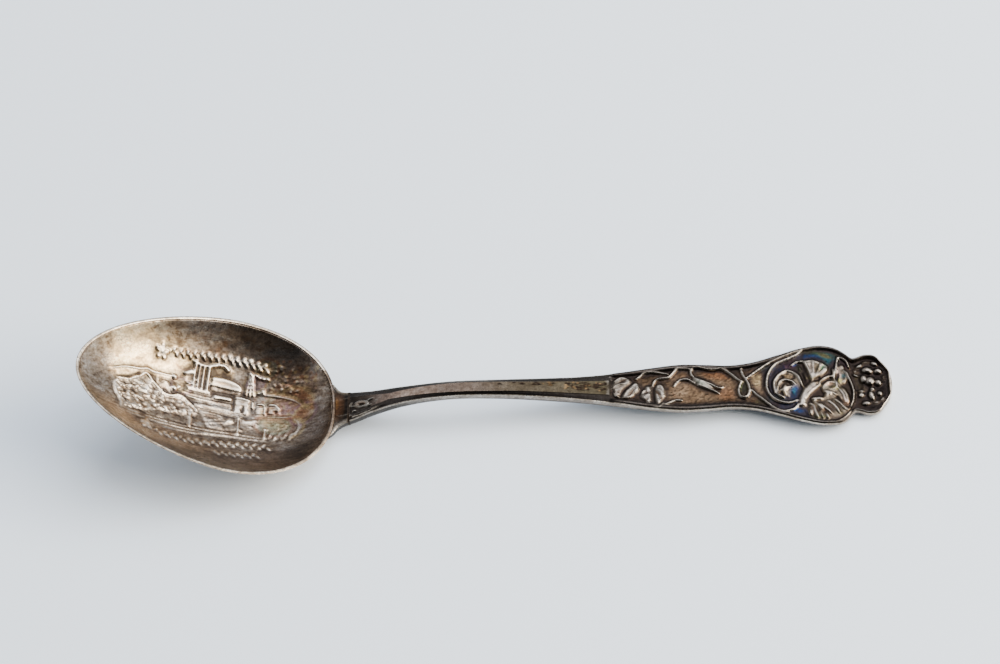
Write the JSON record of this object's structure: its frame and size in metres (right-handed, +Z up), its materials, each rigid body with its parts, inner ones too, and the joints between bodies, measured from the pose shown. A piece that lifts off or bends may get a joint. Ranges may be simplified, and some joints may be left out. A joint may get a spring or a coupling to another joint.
{
  "type": "souvenir spoon",
  "caption": "Teaspoon-size souvenir spoon with an embossed bowl, slender stem and scrolled, leafy handle; it lies on its bowl's back and handle end.",
  "frame": {"origin": "on the table under the middle of the overall box, with the spoon lying as it rests", "axes": "+X from the bowl's tip to the handle's end, +Z up, +Y across the spoon"},
  "size_m": [0.14, 0.0312, 0.0231],
  "materials": {
    "struck_bowl_silver": "worn, lightly tarnished sterling silver with brown and grey toning in the hollows",
    "die_struck_handle_silver": "oxidised sterling silver: bright high points, dark recesses, golden ground and blue-violet toning at the wide end",
    "hard_solder": "dull hard solder, discoloured reddish brown"
  },
  "bodies": {
    "root": {"bowl": "struck_bowl_silver", "handle": "die_struck_handle_silver", "solder_seam": "hard_solder"}
  },
  "joints": []
}
